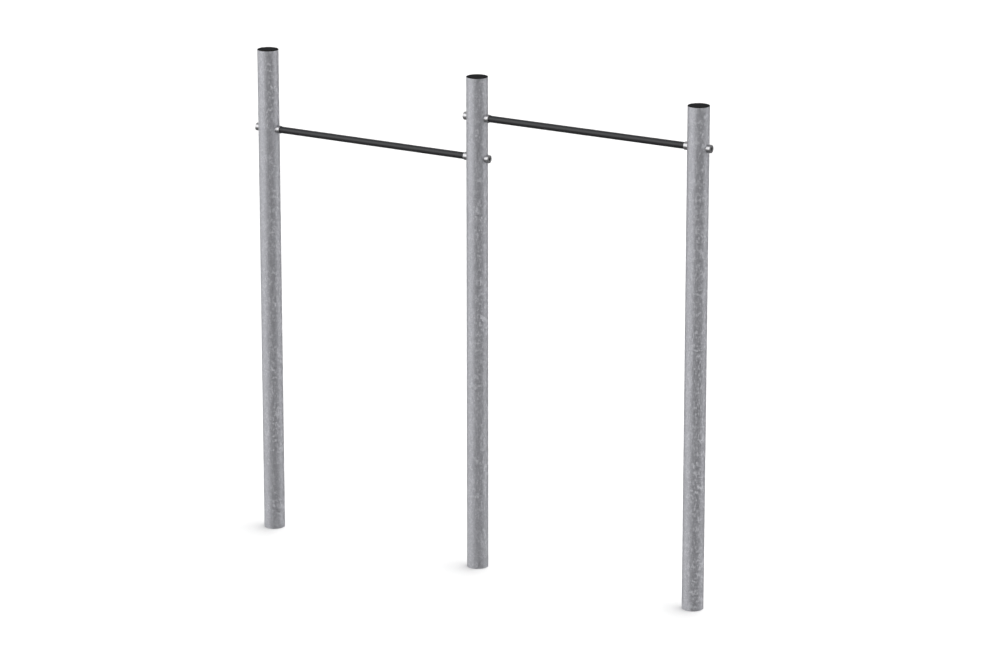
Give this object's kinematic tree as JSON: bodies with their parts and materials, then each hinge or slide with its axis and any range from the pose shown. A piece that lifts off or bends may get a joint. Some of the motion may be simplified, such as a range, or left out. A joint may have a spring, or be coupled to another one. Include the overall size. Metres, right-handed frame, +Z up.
{
  "type": "monkey bars",
  "caption": "Pull-up bar station of round galvanised posts in a line, carrying a low and a high horizontal bar in neighbouring bays.",
  "frame": {"origin": "centre of the middle post's foot, on the ground", "axes": "+X along the bars towards the high bar's far post, +Y away from the front, +Z up the posts"},
  "size_m": [2.4936, 0.1016, 2.4],
  "materials": {
    "galvanised_steel": "hot-dip galvanised, matt with fine spangle",
    "black_powder_coat": "satin powder coat with a fine orange peel",
    "stainless_steel": "turned and polished",
    "stainless_screw": "satin",
    "plated_steel": "bright zinc plate",
    "black_plastic": "moulded, semi-matt"
  },
  "bodies": {
    "root": {"left_post": "galvanised_steel", "middle_post": "galvanised_steel", "right_post": "galvanised_steel", "left_post_cap": "black_plastic", "middle_post_cap": "black_plastic", "right_post_cap": "black_plastic", "low_bar": "black_powder_coat", "high_bar": "black_powder_coat", "low_left_collar": "stainless_steel", "low_left_end_cap": "stainless_steel", "low_left_cross_sleeve": "plated_steel", "low_left_bar_insert": "plated_steel", "low_left_socket_screw": "stainless_screw", "low_left_lock_washer": "stainless_screw", "low_right_collar": "stainless_steel", "low_right_end_cap": "stainless_steel", "low_right_cross_sleeve": "plated_steel", "low_right_bar_insert": "plated_steel", "low_right_socket_screw": "stainless_screw", "low_right_lock_washer": "stainless_screw", "high_left_collar": "stainless_steel", "high_left_end_cap": "stainless_steel", "high_left_cross_sleeve": "plated_steel", "high_left_bar_insert": "plated_steel", "high_left_socket_screw": "stainless_screw", "high_left_lock_washer": "stainless_screw", "high_right_collar": "stainless_steel", "high_right_end_cap": "stainless_steel", "high_right_cross_sleeve": "plated_steel", "high_right_bar_insert": "plated_steel", "high_right_socket_screw": "stainless_screw", "high_right_lock_washer": "stainless_screw"}
  },
  "joints": []
}
